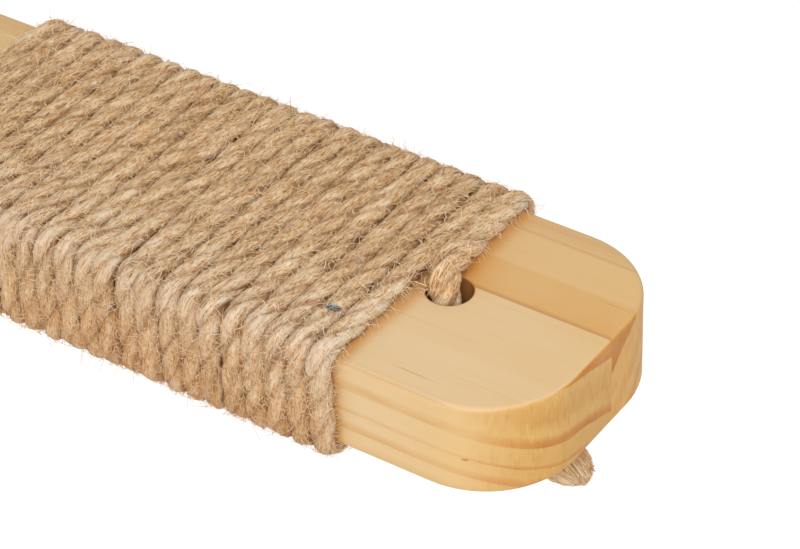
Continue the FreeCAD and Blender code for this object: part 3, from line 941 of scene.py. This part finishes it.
def crossingFibres(dice, look, low, high):
    # matted over the turns in any direction, fewer of them on the broad faces
    spots, angle = fibreStarts(dice, look["number"], low, high, 2, 0.2)
    kept = (between(onSide, spots) > 0.6) | (dice.uniform(0, 1, len(spots)) < look["onTop"])
    spots, angle = spots[kept], angle[kept]
    wanted = len(spots)
    start, _, shown = ropeSurface(spots, angle, -look["sunk"])
    up = between(away, spots)
    forward = between(ahead, spots)
    heading = dice.uniform(0, 2 * math.pi, (wanted, 1))
    straight = (1 - between(bend, spots).clip(0, 1))[:, None]
    way = unit(forward * np.cos(heading) * straight + np.cross(forward, up) * np.sin(heading))
    curve = np.cross(up, way) * dice.normal(0, look["curve"], (wanted, 1))
    level = np.sum((start - between(line, spots)) * up, axis=1)
    top = crest * between(thickness, spots) * between(press, spots) + dice.uniform(*look["lift"], wanted)
    reach = dice.uniform(*look["reach"], (wanted, 1, 1))
    climb = (top - level)[:, None, None] * np.sin(math.pi * np.minimum(onward * 1.2, 0.9) * 0.55 / 0.9)
    droop = dice.uniform(0, look["droop"], (wanted, 1, 1)) * onward ** 3
    paths = start[:, None] + reach * (way[:, None] * onward + curve[:, None] * onward ** 2)
    paths = paths + up[:, None] * (climb - droop)
    return paths, repeated(up), spindle(dice, look, wanted), roof, emerging(shown, 3, 0.5)


def strayFibres(dice, look, low, high):
    # standing off the rope
    spots, angle = fibreStarts(dice, look["number"], low, high, 2)
    wanted = len(spots)
    start, out, shown = ropeSurface(spots, angle, -look["sunk"])
    forward = between(ahead, spots)
    way = out * dice.uniform(*look["out"], (wanted, 1))
    way = way + forward * dice.normal(0, look["along"], (wanted, 1))
    way = unit(way + np.cross(forward, out) * dice.normal(0, look["across"], (wanted, 1)))
    curl = unit(dice.normal(0, 1, (wanted, 3))) * dice.uniform(*look["curl"], (wanted, 1)) - out * 0.5
    reach = np.minimum(dice.gamma(*look["gamma"], wanted), look["longest"])[:, None, None]
    paths = start[:, None] + reach * (way[:, None] * onward + curl[:, None] * onward ** 2 * 0.5)
    return paths, repeated(out), tapered(dice, look, wanted), roundSection(3), emerging(shown, 2, 0.0)


def edgeFibres(dice, look, low, high, outward):
    # hanging from the outermost turns over the bare wood, outward being 1 or -1 along Y
    spots, angle = fibreStarts(dice, look["number"] * 4, low, high, 2, -0.75)
    start, out, _ = ropeSurface(spots, angle, -look["sunk"])
    kept = np.where(out[:, 1] * outward > 0.55)[0][:look["number"]]
    wanted = len(kept)
    forward = between(ahead, spots[kept])
    up = between(away, spots[kept])
    way = unit(forward * dice.normal(0, look["along"], (wanted, 1)) + np.array((0, outward, 0)))
    reach = dice.uniform(*look["reach"], (wanted, 1, 1))
    climb = dice.uniform(*look["climb"], (wanted, 1, 1)) * onward
    sag = dice.uniform(*look["sag"], (wanted, 1, 1)) * onward ** 2
    curl = unit(dice.normal(0, 1, (wanted, 3)))[:, None] * look["curl"] * onward ** 2
    paths = start[kept][:, None] + reach * (way[:, None] * onward + up[:, None] * (climb - sag) + curl)
    return paths, repeated(up), tapered(dice, look, wanted), roundSection(3), inTheOpen(wanted)


def caughtThreads(dice, look):
    # a small tuft that lies across the turns
    wanted = look["number"]
    first, last = (np.array(look[key]) for key in ("from", "to"))
    shift = dice.normal(0, 1, (wanted, 1, 3)) * look["scatter"]
    bow = dice.normal(0, 1, (wanted, 1, 3)) * look["scatter"] * np.sin(math.pi * onward)
    paths = first + shift + (last - first) * onward * dice.uniform(0.6, 1.0, (wanted, 1, 1)) + bow
    paths[..., 2] += look["lift"] * np.sin(math.pi * fibreShare)
    outs = np.zeros_like(paths) + (0, 0, 1)
    return paths, outs, spindle(dice, look, wanted), roundSection(4), inTheOpen(wanted)


def brushEnd(dice, look, start, stop):
    # the cut fibres of the three strands, from inside them out to a ragged, rounded end
    wanted = look["number"]
    t = np.append(np.linspace(0, 1, 8), 1.003)
    taper = np.append(np.ones(8), 0.05)
    flare = (1 + look["flare"] * np.sin(math.pi * (0.8 * t) ** 1.1)) * (1 - look["gather"] * t ** 4)

    def laid(strand, length, share, turn):
        spots = start + (stop - start) * t * length
        out = (np.cos(turn)[..., None] * between(strand["outward"], spots)
               + np.sin(turn)[..., None] * between(strand["beside"], spots))
        reach = jute["strand"] * between(thickness, spots) * share * flare
        return between(strand["centre"], spots) + reach[..., None] * out, out, spots

    paths, outs, shown = [], [], []
    for strand in strands:
        share = np.sqrt(dice.uniform(0.1, 1.15, (wanted, 1)))
        turn = dice.uniform(0, 2 * math.pi, (wanted, 1)) + dice.normal(0, 0.4, (wanted, 1)) * t
        length = dice.uniform(*look["length"], (wanted, 1))
        path, _, spots = laid(strand, length, share, turn)
        off = np.linalg.norm(path[:, -1] - between(line, spots[:, -1]), axis=-1, keepdims=True)
        length = length - look["dome"] * (off / look["across"]).clip(0, 1.2) ** 2    # shorter further out
        path, out, _ = laid(strand, length, share, turn)
        wave = np.sin(dice.uniform(0, 6, (wanted, 1)) + dice.uniform(3, 9, (wanted, 1)) * t)
        wave = (wave * t * look["wave"])[..., None]
        paths.append(path + wave * unit(dice.normal(0, 1, (wanted, 1, 3))))
        outs.append(out)
        # painted shade on fibres deep inside a strand and on those facing the rope's axis
        outer = (0.3 + 0.7 * share ** 2).clip(0, 1) * (1 - 0.6 * smooth(-np.cos(turn), 0.0, 0.9))
        shown.append(pair(outer + (1 - outer) * t ** 3 * 0.7, 0 * outer))
    paths, outs, shown = (np.concatenate(parts) for parts in (paths, outs, shown))
    return paths, outs, dice.uniform(*look["radius"], (len(paths), 1)) * taper, roundSection(5), shown


def addFibres(name, make, look, seed, material, *ends):
    dice = np.random.default_rng(seed)
    paths, outs, widths, section, shown = make(dice, look, *ends)
    return sweep(name, clearOfBoard(paths), outs, widths, section, shown, material, dice)


lyingStops = [(0.30, tint(118, 72, 36)), (0.43, tint(190, 140, 84)), (0.53, tint(229, 187, 132)),
              (0.62, tint(247, 219, 172)), (0.72, tint(254, 241, 214))]
paleStops = [(0.30, tint(206, 156, 98)), (0.5, tint(243, 209, 158)), (0.7, tint(255, 244, 220))]
brushStops = [(0.30, tint(186, 136, 88)), (0.42, tint(226, 180, 127)), (0.52, tint(246, 213, 168)),
              (0.66, tint(253, 238, 210))]
threadStops = [(0.38, tint(52, 56, 58)), (0.5, tint(104, 112, 118)), (0.62, tint(214, 216, 216))]
lyingFinish = fibreFinish("juteFibres", lyingStops, juteLook)
strayFinish = fibreFinish("juteFuzz", paleStops, juteLook)
brushFinish = fibreFinish("juteBrush", brushStops, juteLook)
threadFinish = fibreFinish("caughtThreads", threadStops, dict(juteLook, creviceShade=tint(52, 60, 70)))


def stretchEnds(number):
    # ends of equal stretches of the rope, from its start to its cut end
    return [round(4 + (marks["freeCut"] - 4) * part / number) for part in range(number + 1)]


quarters = stretchEnds(4)
halves = stretchEnds(2)
for part in range(4):
    name = "rope_fibres_%d" % (part + 1)
    addFibres(name, lyingFibres, fuzz["lying"], 31 + part, lyingFinish, *quarters[part:part + 2])
for part in range(2):
    name = "rope_cross_fibres_%d" % (part + 1)
    addFibres(name, crossingFibres, fuzz["crossing"], 41 + part, strayFinish, *halves[part:part + 2])
    name = "rope_fuzz_%d" % (part + 1)
    addFibres(name, strayFibres, fuzz["stray"], 51 + part, strayFinish, *halves[part:part + 2])
addFibres("rope_caught_threads", caughtThreads, threads, 81, threadFinish)
addFibres("rope_edge_fibres_at_wall", edgeFibres, fuzz["edge"], 71, strayFinish,
          marks["wallSwell"], marks["wallJoin"] + oneTurn, 1)
addFibres("rope_edge_fibres_at_hole", edgeFibres, fuzz["edge"], 72, strayFinish,
          marks["freeJoin"] - oneTurn, marks["freeSwell"], -1)
addFibres("rope_brush_at_wall", brushEnd, fuzz["brush"], 61, brushFinish, 7, -1)
freeBrush = addFibres("rope_brush_at_free_end", brushEnd, fuzz["brush"], 62, brushFinish,
                      marks["freeCut"] - 3, count - 1.5)
print("fibres: lying, crossing, stray and two brushes")


# floor and light
stage = {"floorZ": -0.45, "floorSize": 6.0, "floorGrey": 0.9, "floorGlow": 0.45, "world": 0.58}
softbox = {"power": 22.0, "size": 1.1, "place": (-1.2, -0.9, 1.35), "target": (0, -0.2, 0)}


def seenStraight(base):
    # 1 for what the camera sees, also by mirror or through glass
    seen = base.node("LightPath")
    return seen + seen.other("Is Glossy Ray") + seen.other("Is Transmission Ray")


def addStage(look):
    size = look["floorSize"] / 2
    z = look["floorZ"]
    mesh = bpy.data.meshes.new("floor")
    corners = [(-size, -size, z), (size, -size, z), (size, size, z), (-size, size, z)]
    mesh.from_pydata(corners, [], [(0, 1, 2, 3)])
    floor = bpy.data.objects.new("floor", mesh)
    scene.collection.objects.link(floor)
    fixed = {"Base Color": grey(look["floorGrey"]), "Roughness": 0.9}
    material, base, shader = newFinish("paleFloor", fixed)
    plain = Wire(base.tree, shader.outputs[0])
    glow = base.node("Emission", inputs={"Strength": look["floorGlow"]})
    both = base.node("AddShader", inputs={0: plain, 1: glow})
    shown = base.node("MixShader", inputs={0: seenStraight(base), 1: plain, 2: both})
    feed(base.tree.nodes["Material Output"], "Surface", shown)
    mesh.materials.append(material)


def addWorld(look):
    world = bpy.data.worlds.new("studio")
    scene.world = world
    world.use_nodes = True
    base = Wire(world.node_tree)
    strength = seenStraight(base).rise(0.0, 1.0) * (1 - look["world"]) + look["world"]
    back = world.node_tree.nodes["Background"]
    back.inputs["Color"].default_value = grey(1.0)
    feed(back, "Strength", strength)


def addLamp(name, look):
    data = bpy.data.lights.new(name, "AREA")
    data.energy = look["power"]
    data.size = look["size"]
    addTurned(name, data, look["place"], Vector(look["target"]) - Vector(look["place"]))


addStage(stage)
addWorld(stage)
addLamp("keySoftbox", softbox)
print("stage: floor, world and key light")
